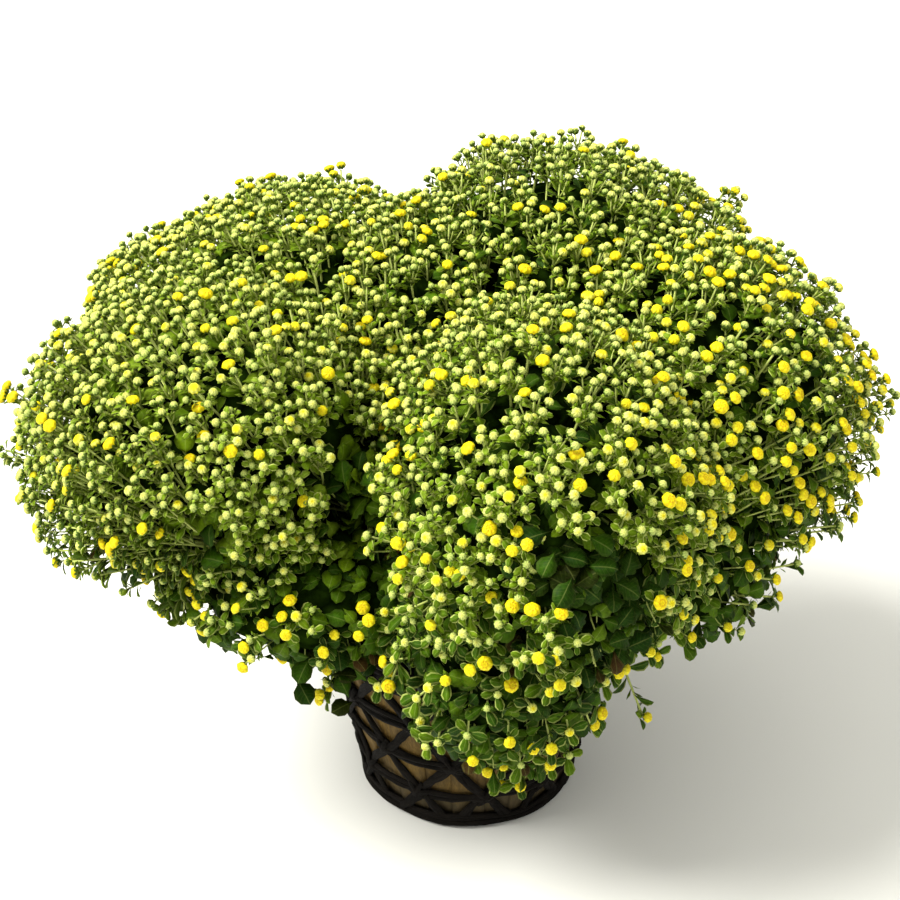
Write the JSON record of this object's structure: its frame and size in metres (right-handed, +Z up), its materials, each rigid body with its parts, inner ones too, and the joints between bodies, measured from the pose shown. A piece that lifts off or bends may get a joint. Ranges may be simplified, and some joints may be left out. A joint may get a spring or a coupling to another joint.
{
  "type": "pot chrysanthemum",
  "caption": "Broad, lobed mound of leafy stems covered in round yellow-green buds, growing from a soil-filled pot in a tapered basket of dark vine lattice.",
  "frame": {"origin": "centre of the basket's foot, on the surface it stands on", "axes": "+Z up along the basket's axis; -Y towards the side that the plant drapes over the rim; +X to the right seen from there"},
  "size_m": [0.9869, 0.8286, 0.7168],
  "materials": {
    "vine": "rough dark bark",
    "veneer": "thin tan veneer, matt",
    "plastic": "moulded, matt",
    "soil": "moist crumbly potting mix",
    "foliage": "soft green leaves and stems with yellow-green buds"
  },
  "bodies": {
    "root": {"foot_hoop": "vine", "basket_base": "veneer", "basket_lining": "veneer", "basket_lattice": "vine", "rim_hoop": "vine", "nursery_pot": "plastic", "potting_soil": "soil", "back_left_stem_1": "foliage", "back_left_stem_2": "foliage", "back_left_stem_3": "foliage", "front_left_stem_1": "foliage", "front_left_stem_2": "foliage", "front_left_stem_3": "foliage", "back_right_stem_1": "foliage", "back_right_stem_2": "foliage", "back_right_stem_3": "foliage", "front_stem_1": "foliage", "front_stem_2": "foliage", "front_stem_3": "foliage", "right_stem_1": "foliage", "right_stem_2": "foliage", "right_stem_3": "foliage", "middle_stem": "foliage", "front_drape_stem": "foliage", "left_skirt_stem": "foliage", "right_skirt_stem": "foliage", "back_skirt_stem": "foliage"}
  },
  "joints": []
}
